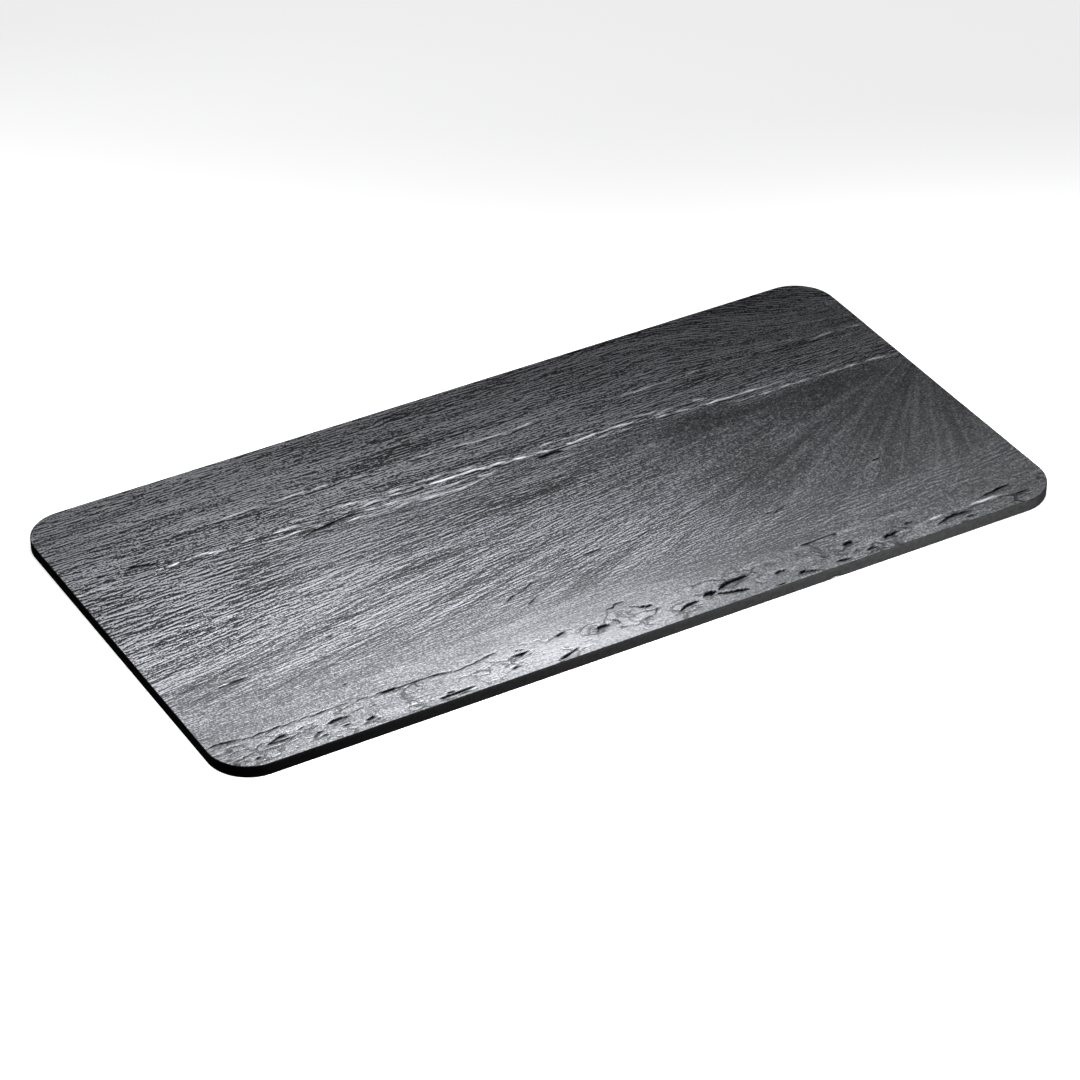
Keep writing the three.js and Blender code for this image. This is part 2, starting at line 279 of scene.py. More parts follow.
# %% The lists, in millimetres
LEDGES = [
    ([(-199, 39.5), (-170, 40.5), (-124, 40), (-96, 38.6)], 0.43),
    ([(-108, 35), (-72, 35.7)], 0.3),
    ([(-60, 39), (-25, 38.6), (-4, 37.4)], 0.53),
    ([(-62, 35), (-35, 33.6), (-8, 33)], 0.35),
    ([(2, 37), (40, 36.8), (82, 36.2)], 0.53),
    ([(-96, 43), (-52, 42.6), (-14, 41)], 0.36),
    ([(-78, 32), (-40, 30.8), (-18, 30.4)], 0.34),
    ([(26, 40), (66, 39.4), (104, 37)], 0.36),
    ([(30, 33.4), (58, 33)], 0.33),
    ([(84, 34.4), (104, 33), (124, 32.6)], 0.5),
    ([(128, 31.8), (152, 31)], 0.35),
    ([(18, 28), (48, 28.6)], 0.22),
    ([(116, 28.4), (158, 27.8), (194, 26)], 0.38),
    ([(-142, 60), (-100, 60.4), (-50, 59.6)], 0.34),
    ([(-34, 59.2), (14, 58.4), (39, 58)], 0.42),
    ([(52, 57.6), (108, 57.8)], 0.34),
    ([(112, 57), (162, 56.6)], 0.25),
    ([(168, 54.4), (199, 54)], 0.38),
    ([(-122, -3), (-104, -2.4), (-86, -3.2)], 0.25),
    ([(20, -30), (42, -21), (56, -17)], 0.18),
    ([(133, -91), (148, -90.4), (166, -90.8)], 0.38),
]
SPLINTERS = [
    ([(-148, 52.6), (-126, 50.6)], 0.12),
    ([(-46, 50.2), (-8, 49.6)], 0.14),
    ([(-86, 82), (-68, 82.4)], 0.12),
    ([(8, 90), (42, 90)], 0.12),
    ([(108, 88.6), (131, 88.4)], 0.14),
    ([(129, 72.6), (149, 72.2)], 0.12),
    ([(112, 44.6), (138, 48.4)], 0.14),
    ([(36, 9), (64, 19)], 0.1),
    ([(-72, -6), (40, -7.4), (150, -8)], 0.08),
    ([(-50, -53), (-28, -44)], 0.12),
    ([(78, -79.4), (97, -79.6)], 0.18),
]
FLAKES = [
    (125, -79, 13, 3.4, 0.3),
    (175, 28.5, 9, 4, 0.22),
    (-32, 43.4, 8, 3, 0.2),
    (-9, -84.5, 22, 15, 0.18),
    (121, -91, 6, 3.4, 0.25),
]
SWELLS = [(171, 62, 0.09, 0.4), (94, 101, 0.06, 2.1), (53, 84, 0.05, 4.4), (47, 8, 0.03, 1.3)]
print(len(LEDGES), "ledges,", len(SPLINTERS), "splinters,", len(FLAKES), "flakes")


# %% Their heights
LEDGE_FACE = 1.3
LEDGE_TAPER = 9
LEDGE_MEAN, LEDGE_SWING = 0.62, 0.5
LEDGE_WANDER, LEDGE_TREMBLE = 0.8, 0.4
CREST_REACH = 17
FOOT_REACH = 6
FOOT_SHARE = 0.45
FULL_DROP = 0.5
FRESH_AND_HIGHLIGHT_WIDTH = 0.38
FOOT_SHADE_WIDTH = 0.5
RIB_HEIGHT = 0.06
RIB_WAVE = 12.5
FAN_RAYS = 26
DRIFT_LENGTH = 70


def line_noise(x, long, seed):
    """Noise along a line: lattice noise that changes with x alone, in steps of `long` millimetres."""
    return lattice_noise(x / long, np.zeros_like(x), seed)


def ledge_parts(line, drop, x, y, seed):
    """One ledge as three arrays: its height, how freshly broken the stone is, with a painted highlight
    along the broken line, and the painted shade along its foot. The height is drop * (rise * crest *
    (1 - FOOT_SHARE) - (1 - rise) * foot * FOOT_SHARE), where rise is an S-curve over the ledge's face,
    and crest and foot die away behind and in front of it. The drop, the light broken line and the
    painted foot shade come and go along the ledge with noises of their own."""
    start, end = line[0][0], line[-1][0]
    strength = smooth(x, start - LEDGE_TAPER, start) * (1 - smooth(x, end, end + LEDGE_TAPER))
    strength = strength * (LEDGE_MEAN + LEDGE_SWING * line_noise(x, 9, seed))
    wander = LEDGE_WANDER * line_noise(x, 12, seed + 1) + LEDGE_TREMBLE * line_noise(x, 4, seed + 2)
    behind = y - line_at(line, x) - wander
    rise = smooth(behind, -LEDGE_FACE, 0)
    crest = np.exp(-np.maximum(behind, 0) / CREST_REACH)
    foot = np.exp(np.minimum(behind, 0) / FOOT_REACH)
    height = drop * strength * (rise * crest * (1 - FOOT_SHARE) - (1 - rise) * foot * FOOT_SHARE)
    shown = np.minimum(1, 1.5 * strength) * min(1, (drop / FULL_DROP) ** 2)
    # A lighter line of broken stone at the crest, painted brighter still: partly a painted highlight.
    fresh_and_highlight = shown * smooth(line_noise(x, 5, seed + 3), -0.6, 0.5) * np.exp(-(behind / FRESH_AND_HIGHLIGHT_WIDTH) ** 2)
    # Painted shade along the foot of the ledge's face.
    at_foot = np.exp(-((behind + LEDGE_FACE) / FOOT_SHADE_WIDTH) ** 2)
    return height, fresh_and_highlight, shown * smooth(line_noise(x, 5, seed + 4), -0.5, 0.2) * at_foot


def flake_height(flake, x, y):
    """Height of a raised flake: high * (1 - r^4), where r is the distance from its middle in half sizes."""
    at_x, at_y, long, across, high = flake
    r_squared = ((x - at_x) / (long / 2)) ** 2 + ((y - at_y) / (across / 2)) ** 2
    return high * np.maximum(0, 1 - r_squared ** 2)


def swell_height(swell, x, y):
    """Height of one long wave: high * sin(2 pi * distance along its direction / wave + start)."""
    wave, turn, high, start = swell
    along = x * math.cos(math.radians(turn)) + y * math.sin(math.radians(turn))
    return high * np.sin(2 * np.pi * along / wave + start)


def rib_and_fan_height(x, y):
    """Height of the low ribs behind the main break, RIB_HEIGHT * sin(2 pi y / RIB_WAVE), and of the
    fan before it, RIB_HEIGHT * sin(FAN_RAYS * angle to the fan's centre), each with a slow drift and
    its own share of the face."""
    drift = np.sin(x / DRIFT_LENGTH)
    ribs = np.sin(2 * np.pi * y / RIB_WAVE + 1.6 * drift) * smooth(y, 32, 56)
    fan = np.sin(FAN_RAYS * np.arctan2(FAN_Y - y, FAN_X - x) + 1.1 * drift) * (1 - smooth(y, 12, 36))
    return RIB_HEIGHT * (ribs + fan)


ribs_and_fan = rib_and_fan_height(NET_X, NET_Y)
print(f"ribs and fan from {ribs_and_fan.min():.2f} to {ribs_and_fan.max():.2f} mm")

# %% [markdown]
# ## Pits and cracks
#
# Beside the front edge thin flakes have come away, and the grain is crossed by hairline cracks. A pit
# is a lens-shaped hollow of ragged outline, given by its middle, its length, width and depth, and its
# turn in degrees. A nick is a small one. A crack is a narrow groove along a line of points. All
# also write painted shade into an attribute, worked out from how deep they are, because real pits
# hold shadow on the side away from the light, finer than any mesh. They could be cut out with
# Boolean modifiers, but a cut has hard sides and breaks the even net, and a hollow in the height map
# runs out softly into the stone.

# %% The lists of pits and cracks
PITS = [
    (-172, -88.6, 12, 4, 0.4, 4), (-157, -94, 6, 4, 0.35, 30), (-146, -89.4, 10, 4.4, 0.5, -8),
    (-134, -95.5, 8, 3.4, 0.45, 12), (-118, -82, 12, 2.6, 0.35, -3), (-95, -97, 17, 2.8, 0.5, 2),
    (-62, -88, 10, 4.2, 0.5, -14), (-40, -83.6, 7, 2.6, 0.35, 8), (-44, -97, 11, 2.6, 0.35, 20),
    (-23, -88, 7, 4, 0.6, 10), (0, -84.4, 7, 2.6, 0.5, -12), (15.5, -92.6, 9, 3.2, 0.55, 14),
    (27.5, -90, 8, 3.8, 0.8, 24), (40, -87.4, 16, 4.2, 0.65, 6), (37, -93.4, 13, 2.8, 0.4, -16),
    (61, -91.2, 6, 3, 0.5, 16), (71, -97, 9, 3, 0.45, -8), (97, -89, 7, 4, 0.6, 34),
    (89, -97.6, 6, 2.6, 0.4, 0), (115.5, -92.4, 8, 4, 0.5, 18), (147, -94, 16, 3.4, 0.35, 2),
    (174, -87, 14, 3, 0.3, 4), (-168, 44, 15, 7, 0.4, -14), (23, 33.2, 11, 2.8, 0.6, 0),
    (-87, 31.5, 30, 6.5, 0.3, 10), (-170, -46.5, 16, 3.4, 0.3, 3), (1, -39.7, 9, 2.4, 0.4, 4),
]
NICKS = [
    (-186, 47.5, 3, 2), (-176, 89, 5, 3), (-123, -37.5, 4, 1.4), (-111, -37.5, 5, 1.4),
    (-132, -70, 2, 3), (-155, -95.5, 3, 2.4), (-144, -93.5, 3, 2.4), (-160.5, -86, 3, 2),
    (-67, -94, 4, 2), (-58, -86.5, 4, 1.8), (-98, -95.3, 4, 1.6), (57, -99, 4, 1.6),
    (68, -96.5, 3, 2), (127, -88.5, 4, 2), (153, -97, 4, 1.6), (145, -41.5, 9, 1.2),
    (-61, -84, 4, 1.4), (104, -96, 5, 1.6), (-184, -95, 4, 1.8), (183, -93, 6, 1.6),
]
CRACKS = [
    [(-199, -79), (-190, -79.5), (-180, -81), (-157, -80.5), (-140, -81), (-118, -81.5), (-97, -82),
     (-88, -83.6), (-82, -83), (-70, -81)],
    [(-175, -89), (-168, -89)],
    [(-103, -97.8), (-87, -98.2)],
    [(-18, -83), (-16.6, -85.5), (-15, -88)],
    [(-21, -85), (-18, -82), (-14, -78), (-11, -76), (-7, -76)],
    [(-6, -81), (-2, -83.5), (3, -84.4)],
    [(-16, -91), (-10, -93), (-5, -92), (0, -90), (3, -87)],
    [(-50, -100), (-45, -97), (-39, -95)],
    [(31, -91), (36, -93), (43, -95)],
    [(78, -51.5), (84, -53), (89, -50.5)],
    [(-48, -52), (-30, -45)],
    [(-41, -58), (-34, -55)],
    [(80, -79.5), (95, -79.5)],
]
print(len(PITS), "pits,", len(NICKS), "nicks,", len(CRACKS), "cracks")

# %% Their depths
RAGGEDNESS = 0.14
NICK_DEPTH = 0.3
CRACK_WIDTH = 0.4
CRACK_DEPTH = 0.22
CRACK_WAVE = 3
CRACK_WAVER_X, CRACK_WAVER_Y = 0.8, 0.6


def hollow_depth(x, y, at_x, at_y, long, across, deep, turn):
    """Depth of a hollow: deep * sqrt(1 - r^2), where r is the distance from its middle in half sizes,
    in coordinates turned with it, and the half sizes wander by sines of the angle round the middle."""
    c, s = math.cos(math.radians(turn)), math.sin(math.radians(turn))
    along, aside = (x - at_x) * c + (y - at_y) * s, (y - at_y) * c - (x - at_x) * s
    u, v = along / (long / 2), aside / (across / 2)
    around = np.arctan2(v, u)
    stretch = 1 + RAGGEDNESS * (np.sin(3 * around + at_x) + np.sin(2 * around + at_y))
    return deep * np.sqrt(np.maximum(0, 1 - (u * u + v * v) / stretch ** 2))


def all_hollows(x, y):
    """Depth of all pits and nicks together: the sum of the single hollows."""
    small = sum(hollow_depth(x, y, at_x, at_y, long, across, NICK_DEPTH, 0)
                for at_x, at_y, long, across in NICKS)
    return small + sum(hollow_depth(x, y, *pit) for pit in PITS)


def crack_depth(points, x, y):
    """Depth of a crack: CRACK_DEPTH * exp(-(distance / CRACK_WIDTH)^2) with the distance to the nearest
    of its straight stretches, after the net is shifted by a small noise so that the line wavers. A
    second noise makes it come and go."""
    px = x + CRACK_WAVER_X * lattice_noise(x / CRACK_WAVE, y / CRACK_WAVE, 61)
    py = y + CRACK_WAVER_Y * lattice_noise(x / CRACK_WAVE, y / CRACK_WAVE, 62)
    nearest = np.full_like(x, np.inf)
    for (ax, ay), (bx, by) in zip(points[:-1], points[1:]):
        length_squared = (bx - ax) ** 2 + (by - ay) ** 2
        share = np.clip(((px - ax) * (bx - ax) + (py - ay) * (by - ay)) / length_squared, 0, 1)
        nearest = np.minimum(nearest, np.hypot(px - ax - share * (bx - ax), py - ay - share * (by - ay)))
    shown = 0.4 + 0.6 * smooth(lattice_noise(x / 6, y / 6, 63), -0.4, 0.4)
    return CRACK_DEPTH * shown * np.exp(-(nearest / CRACK_WIDTH) ** 2)


print(f"pits and nicks up to {all_hollows(NET_X, NET_Y).max():.2f} mm deep")

# %% [markdown]
# ## The height of the riven top
#
# All of it is one sum over the net: swells, ribs, ledges and flakes, minus the pits and cracks, plus
# two sizes of grain noise. Toward the ground edges the relief shrinks, because a slab is split from
# a larger block and its best, flattest part is kept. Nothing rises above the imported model.

# %% The height map
EDGE_BAND = 9
EDGE_SHARE = 0.45
HOLLOW_MARGIN = 1.5
RIDGE_Y = 59
FRONT_STRIP = (-86, -75)
CALM_FRONT, CALM_RIGHT = 0.42, 0.3
CHIPPING = 0.3
RELIEF_GRAIN = [(0.02, 0.07, 24, 1.9, 20), (0.035, 0.05, 44, 5, 40)]
SHADE_REACH = 0.6
SHADE_DEPTH = 0.1
CRACK_SHADE, CHIP_SHADE = 1.7, 1.2


def break_share(x, y):
    """How splintered the layers are: exp(-(d / 7)^2), d being the distance to the main break, plus
    0.6 exp(-(e / 6)^2), e being the distance to the ridge behind it."""
    return np.exp(-((y - line_at(MAIN_BREAK, x)) / 7) ** 2) + 0.6 * np.exp(-((y - RIDGE_Y) / 6) ** 2)


def chip_pattern(x, y):
    """Small flaked spots: how far a fine noise is above 0.35, times an S-curve of a slow noise."""
    spots = np.maximum(0, lattice_noise(x / 3.1, y / 1.7, 3) - 0.35)
    return spots * smooth(lattice_noise(x / 15, y / 9, 4), -0.2, 0.5)


def crispness(x, y):
    """How strongly the streaks stand out: 1, plus half the break share, plus 1 behind the break and at
    the left, where the face is rougher. All of it is less by the share CALM_FRONT at the front edge
    and CALM_RIGHT near the fan's centre, where the face is smoother."""
    front = 1 - smooth(y, -85, -5)
    right = near_share(x, y) * fan_share(x, y)
    rougher = np.maximum(smooth(y, 30, 60), (1 - smooth(x, -175, -90)) * smooth(y, -40, 0))
    smoother = (1 - CALM_FRONT * front) * (1 - CALM_RIGHT * right)
    return (1 + 0.5 * break_share(x, y) + rougher) * smoother


def riven_top(x, y):
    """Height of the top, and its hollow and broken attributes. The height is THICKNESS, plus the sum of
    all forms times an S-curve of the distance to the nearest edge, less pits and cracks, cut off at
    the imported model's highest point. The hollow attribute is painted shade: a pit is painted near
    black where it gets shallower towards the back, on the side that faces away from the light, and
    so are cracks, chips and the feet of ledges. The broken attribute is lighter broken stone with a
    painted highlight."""
    forms = sum(swell_height(swell, x, y) for swell in SWELLS) + rib_and_fan_height(x, y)
    forms += sum(flake_height(flake, x, y) for flake in FLAKES)
    broken, painted_foot_shade = np.zeros_like(x), np.zeros_like(x)
    for number, (line, drop) in enumerate(LEDGES + SPLINTERS):
        height, fresh_and_highlight, dark = ledge_parts(line, drop, x, y, 100 + 10 * number)
        forms += height
        broken = np.maximum(broken, fresh_and_highlight)
        painted_foot_shade = np.maximum(painted_foot_shade, dark)
    near_break = break_share(x, y)
    for calm, broken_up, long, across, seed in RELIEF_GRAIN:
        forms += (calm + broken_up * near_break) * grain_noise(x, y, long, across, seed)
    chips = (1 - smooth(y, *FRONT_STRIP)) * chip_pattern(x, y)
    forms -= CHIPPING * chips

    depths = all_hollows(x, y)
    cracks = sum(crack_depth(points, x, y) for points in CRACKS)
    edge = np.minimum(LENGTH / 2 - np.abs(x), WIDTH / 2 - np.abs(y))
    share = EDGE_SHARE + (1 - EDGE_SHARE) * smooth(edge, 0, EDGE_BAND)
    inside = smooth(edge, TOP_ARRIS, TOP_ARRIS + HOLLOW_MARGIN)
    height = THICKNESS + forms * share - (depths + cracks) * inside
    # Painted shadow: a pit is darkened where it gets shallower towards the back, on the side away from the
    # light. Painted shade is added at the feet of ledges, in cracks and in chips.
    shade = (depths - all_hollows(x, y + SHADE_REACH)) / SHADE_DEPTH + painted_foot_shade
    hollow = np.clip(shade + CRACK_SHADE * cracks / CRACK_DEPTH + CHIP_SHADE * chips, 0, 1)
    return np.minimum(height, HIGHEST), hollow, broken


TOP_Z, PAINTED_SHADE, BROKEN_AND_HIGHLIGHT = riven_top(NET_X, NET_Y)
print(f"top from {TOP_Z.min():.2f} to {TOP_Z.max():.2f} mm")

# %% [markdown]
# ## The edge and the underside
#
# The rim of the net is copied outwards and down, ring by ring: the rounded arris, the upright ground
# edge, and the small lower arris. A chip is missing from the lower front edge. The underside is a
# second, coarser net. Nobody sees its grain closely, so it takes every fourth point, and one ring of
# triangles joins four steps of the fine rim to one of the coarse rim. A Solidify and a Bevel modifier
# could make the edge, but they would thicken the relief as well and round it where it should be sharp.

# %% Rings down the edge
CHIP_X, CHIP_LONG, CHIP_DEEP, CHIP_HIGH = 83.2, 4.6, 0.9, 1.3
WALL_LEVELS = [3.6, 2.3, 1.5, 1.1, 0.7]
COARSER = 4

index = np.arange(NET_X.size).reshape(NET_X.shape)
rim = np.concatenate([index[0, :-1], index[:-1, -1], index[-1, :0:-1], index[:0:-1, 0]])
RIM = np.stack([NET_X.ravel()[rim], NET_Y.ravel()[rim], TOP_Z.ravel()[rim]], axis=1)


def outward(points):
    """Unit step out of the slab: square to the straight edges, and radial at the corners."""
    past = np.maximum(np.abs(points[:, :2]) - (CORNER_X, CORNER_Y), 0) * np.sign(points[:, :2])
    return past / np.linalg.norm(past, axis=1, keepdims=True)


def ring_at(out, z):
    """The rim moved outwards by out and set to height z, with the chip bitten out of the front: the
    bite is CHIP_DEEP * sqrt(1 - r^2), r being the distance from the chip's middle in half sizes."""
    ring = np.column_stack([RIM[:, :2] + outward(RIM) * out, np.broadcast_to(z, len(RIM))])
    r_squared = ((ring[:, 0] - CHIP_X) / (CHIP_LONG / 2)) ** 2 + (ring[:, 2] / CHIP_HIGH) ** 2
    bite = CHIP_DEEP * np.sqrt(np.maximum(0, 1 - r_squared)) * (ring[:, 1] < -CORNER_Y)
    ring[:, 1] += bite
    return ring


rings = [ring_at(TOP_ARRIS * math.sin(a), RIM[:, 2] - TOP_ARRIS * (1 - math.cos(a)))
         for a in np.radians([30, 60, 90])]
rings += [ring_at(TOP_ARRIS, z) for z in WALL_LEVELS]
rings += [ring_at(TOP_ARRIS - BOTTOM_ARRIS * (1 - math.cos(a)), BOTTOM_ARRIS * (1 - math.sin(a)))
          for a in np.radians([0, 45, 90])]
print(len(rings), "rings of", len(RIM), "points")

# %% The underside
UNDER_SCARS = [
    (-132, 52, 64, 22, 0.45, 6), (118, -58, 78, 18, 0.4, -4),
    (-78, -84, 52, 12, 0.5, 3), (152, 66, 40, 15, 0.45, -12),
]
UNDER_X, UNDER_Y = NET_X[::COARSER, ::COARSER], NET_Y[::COARSER, ::COARSER]
UNDER_Z = sum(hollow_depth(UNDER_X, UNDER_Y, *scar) for scar in UNDER_SCARS)
under_edge = np.minimum(LENGTH / 2 - np.abs(UNDER_X), WIDTH / 2 - np.abs(UNDER_Y))
UNDER_Z = UNDER_Z * smooth(under_edge, 2, 5)
print(f"underside scars up to {UNDER_Z.max():.2f} mm deep")


# %% All faces
def net_faces(ids):
    """Four-cornered faces of a net of point numbers, anticlockwise seen from above."""
    return np.stack([ids[:-1, :-1], ids[:-1, 1:], ids[1:, 1:], ids[1:, :-1]], axis=-1).reshape(-1, 4)


def ring_faces(upper, lower):
    """Four-cornered faces between two rings of point numbers, facing out of the slab."""
    return np.stack([upper, lower, np.roll(lower, -1), np.roll(upper, -1)], axis=-1)


def joining_faces(fine, coarse):
    """Triangles between a fine ring and a coarse one with a quarter of its points: the first two fine
    steps go to one coarse point, the last two to the next, and one triangle fills the gap between."""
    f = [np.roll(fine, -k)[::COARSER] for k in range(COARSER + 1)]
    f[COARSER] = np.roll(f[0], -1)
    here, there = coarse, np.roll(coarse, -1)
    return np.concatenate([
        np.stack([f[0], here, f[1]], axis=-1),
        np.stack([f[1], here, f[2]], axis=-1),
        np.stack([f[2], here, there], axis=-1),
        np.stack([f[2], there, f[3]], axis=-1),
        np.stack([f[3], there, f[4]], axis=-1),
    ])


top_points = np.column_stack([NET_X.ravel(), NET_Y.ravel(), TOP_Z.ravel()])
under_points = np.column_stack([UNDER_X.ravel(), UNDER_Y.ravel(), UNDER_Z.ravel()])
ring_ids = [rim] + [np.arange(len(rim)) + len(top_points) + len(rim) * k for k in range(len(rings))]
under_ids = np.arange(len(under_points)).reshape(UNDER_X.shape) + len(top_points) + len(rim) * len(rings)
under_rim = np.concatenate([
    under_ids[0, :-1], under_ids[:-1, -1], under_ids[-1, :0:-1], under_ids[:0:-1, 0],
])
points = np.concatenate([top_points, *rings, under_points]) * MM
riven_faces = net_faces(index)
edge_faces = np.concatenate([ring_faces(a, b) for a, b in zip(ring_ids[:-1], ring_ids[1:])])
under_faces = net_faces(under_ids)[:, ::-1]
join_faces = joining_faces(ring_ids[-1], under_rim)
faces = riven_faces.tolist() + edge_faces.tolist() + under_faces.tolist() + join_faces.tolist()
print(len(points), "points,", len(faces), "faces")

# %% [markdown]
# ## One mesh with numbers of its own
#
# All points and faces go into one closed mesh. Its finish needs to know things that a height map
# knows and a shader doesn't: where the hollows and the feet of ledges get painted shade, where the
# stone is freshly broken and gets a painted highlight, and which way the grain runs. They could be
# painted on by hand, but here they are worked out already, so each is kept as an attribute, one
# number per point. The rim of the top is marked sharp, because shading that is smoothed across it
# would smear the dark edge over the top.

# %% The mesh
slab_mesh = bpy.data.meshes.new("riven_slab")
slab_mesh.from_pydata(points.tolist(), [], faces)
slab_mesh.shade_smooth()
is_edge = np.zeros(len(faces), dtype=np.int32)
is_edge[len(riven_faces):len(riven_faces) + len(edge_faces)] = 1
slab_mesh.polygons.foreach_set("material_index", is_edge)
edge_ends = np.empty(2 * len(slab_mesh.edges), dtype=np.int32)
slab_mesh.edges.foreach_get("vertices", edge_ends)
slab_mesh.edges.foreach_set("use_edge_sharp", np.isin(edge_ends, rim).reshape(-1, 2).all(axis=1))
print("sharp edges around the rim:", len(rim))

# %% Its attributes
OTHER_SIDE = 900.0
FLECKED_FRONT = (-92, -35)
PAINTED_HIGHLIGHT_FRONT = (-100, -45)
PAINTED_HIGHLIGHT_X, PAINTED_HIGHLIGHT_REACH = -35, 62


def put_attribute(name, values, kind="FLOAT"):
    """Keeps one number, or one vector, per point of the mesh as an attribute."""
    key = "value" if kind == "FLOAT" else "vector"
    data = slab_mesh.attributes.new(name, kind, "POINT").data
    data.foreach_set(key, np.ascontiguousarray(values, dtype=np.float32).ravel())


def top_only(top_values):
    """A number for each point of the top, and 0 for every other point."""
    return np.pad(top_values.ravel(), (0, len(points) - top_values.size))


point_x, point_y = (points[:, :2] / MM).T
point_side = np.where(np.arange(len(points)) < len(top_points), 0.0, OTHER_SIDE)
# A paler patch painted at the front, where the sheen of the lamps is brightest: a painted highlight.
painted_highlight_patch = (1 - smooth(NET_Y, *PAINTED_HIGHLIGHT_FRONT)) * np.exp(-((NET_X - PAINTED_HIGHLIGHT_X) / PAINTED_HIGHLIGHT_REACH) ** 2)
straight_along, straight_across = straight_grain(point_x, point_y)
fan_along, fan_across = fan_grain(point_x, point_y)
put_attribute("straight", np.column_stack([straight_along, straight_across, point_side]), "FLOAT_VECTOR")
put_attribute("fan", np.column_stack([fan_along, fan_across, point_side]), "FLOAT_VECTOR")
put_attribute("fan_share", fan_share(point_x, point_y) * (point_side == 0))
put_attribute("near_share", near_share(point_x, point_y))
# The hollow attribute is painted shade in pits, cracks and chips and at the feet of ledges.
put_attribute("hollow", top_only(PAINTED_SHADE))
# The broken attribute is lighter broken stone with a painted highlight.
put_attribute("broken", top_only(BROKEN_AND_HIGHLIGHT))
put_attribute("strip", top_only(1 - smooth(NET_Y, *FRONT_STRIP)))
put_attribute("front_share", top_only(1 - smooth(NET_Y, *FLECKED_FRONT)))
put_attribute("crispness", top_only(crispness(NET_X, NET_Y)))
put_attribute("pale", top_only(painted_highlight_patch))
print("attributes:", [name for name in slab_mesh.attributes.keys() if not name.startswith(".")])

# %% The slab's object
slab_mesh.validate()
slab_mesh.update()
slab = bpy.data.objects.new("riven_slab", slab_mesh)
bpy.context.scene.collection.objects.link(slab)
slab_mesh.calc_loop_triangles()
print(len(slab_mesh.loop_triangles), "triangles")

# %% [markdown]
# ## Helpers for the finishes
#
# A procedural finish is a small network of nodes. It could be drawn by hand in the shader editor, but
# code can be read and changed line by line. One helper adds a node and either sets or links each of
# its inputs, so that a finish reads as a list of steps.


# %% Node helpers
def add_node(material, kind, inputs=None, out=0, **settings):
    """Adds a node, applies its settings, sets or links its inputs, and returns the output asked for."""
    tree = material.node_tree
    node = tree.nodes.new(kind)
    for name, value in settings.items():
        setattr(node, name, value)
    for key, value in (inputs or {}).items():
        if isinstance(value, bpy.types.NodeSocket):
            tree.links.new(value, node.inputs[key])
        else:
            node.inputs[key].default_value = value
    return node.outputs[out]


def calculate(material, operation, first, second, third=0.0):
    """A Math node: one operation on two or three values."""
    return add_node(material, "ShaderNodeMath", {0: first, 1: second, 2: third}, operation=operation)


def weighted_sum(material, terms, start=0.0):
    """Start plus the sum of value * weight over the terms."""
    for value, weight in terms:
        start = calculate(material, "MULTIPLY_ADD", value, weight, start)
    return start


def between(material, value, low, high, to_low=0.0, to_high=1.0):
    """Maps a value from low..high to to_low..to_high, held at both ends."""
    ends = {"Value": value, "From Min": low, "From Max": high, "To Min": to_low, "To Max": to_high}
    return add_node(material, "ShaderNodeMapRange", ends)


def mix_values(material, share, first, second):
    """Mixes two values: first * (1 - share) + second * share."""
    return add_node(material, "ShaderNodeMix", {"Factor": share, 2: first, 3: second}, data_type="FLOAT")


def blend_colours(material, share, first, second):
    """Mixes two colours: first * (1 - share) + second * share."""
    inputs = {"Factor": share, 6: first, 7: second}
    return add_node(material, "ShaderNodeMix", inputs, out=2, data_type="RGBA")


def attribute(material, name):
    """Reads one of the mesh's own numbers."""
    return add_node(material, "ShaderNodeAttribute", out=2, attribute_name=name)


def stone(name, roughness, specular):
    """An empty stone material and its shader."""
    material = bpy.data.materials.new(name)
    material.use_nodes = True
    shader = material.node_tree.nodes["Principled BSDF"]
    shader.inputs["Roughness"].default_value = roughness
    shader.inputs["Specular IOR Level"].default_value = specular
    shader.inputs["IOR"].default_value = 1.55
    return material, shader


def connect(material, output, shader, socket):
    """Links an output to a socket of the shader."""
    material.node_tree.links.new(output, shader.inputs[socket])


riven, riven_shader = stone("riven_slate", roughness=0.3, specular=0.5)
print("an empty stone has", len(riven.node_tree.nodes), "nodes")

# %% [markdown]
# ## The riven finish
#
# Riven slate has a satin sheen, and its face is made of the broken edges of very thin layers. Each
# shows as a streak that is lit on one side and shaded on the other. An image texture could show
# that, but it would fit one slab and one light. Here the streaks are noise in the grain's own
# coordinates, long along and short across, and the lit and the shaded side are painted light and
# painted shade: the difference of two such noises, one of them shifted a little across the grain.

# %% Streaks along the grain
FINE, FINE_SHIFT = (7.0, 0.85), 0.65
LAYERS, LAYER_SHIFT = (13.0, 1.4), 0.75
BROAD = (90.0, 8.0)
RAYS = (45.0, 6.0)


def grain_pair(name):
    """Reads a pair of grain coordinates, in millimetres, from the mesh."""
    return add_node(riven, "ShaderNodeAttribute", out=1, attribute_name=name)


straight_pair, fan_pair = grain_pair("straight"), grain_pair("fan")
on_fan, near_centre = attribute(riven, "fan_share"), attribute(riven, "near_share")


def drawn_out(pair, long, across, shift=0.0):
    """Noise in a pair of grain coordinates, drawn out to `long` by `across` millimetres and moved by a
    shift across the grain."""
    inputs = {"Vector": pair, "Location": (0, shift / across, 0), "Scale": (1 / long, 1 / across, 1)}
    mapped = add_node(riven, "ShaderNodeMapping", inputs)
    return add_node(riven, "ShaderNodeTexNoise", {"Vector": mapped, "Scale": 1.0, "Detail": 1.0})


def streaks(long, across, shift=0.0):
    """Such noise in both pairs, blended as on the mesh."""
    wider = drawn_out(fan_pair, long, across * FAN_SPAN / NEAR_SPAN, shift)
    fan = mix_values(riven, near_centre, drawn_out(fan_pair, long, across, shift), wider)
    return mix_values(riven, on_fan, drawn_out(straight_pair, long, across, shift), fan)


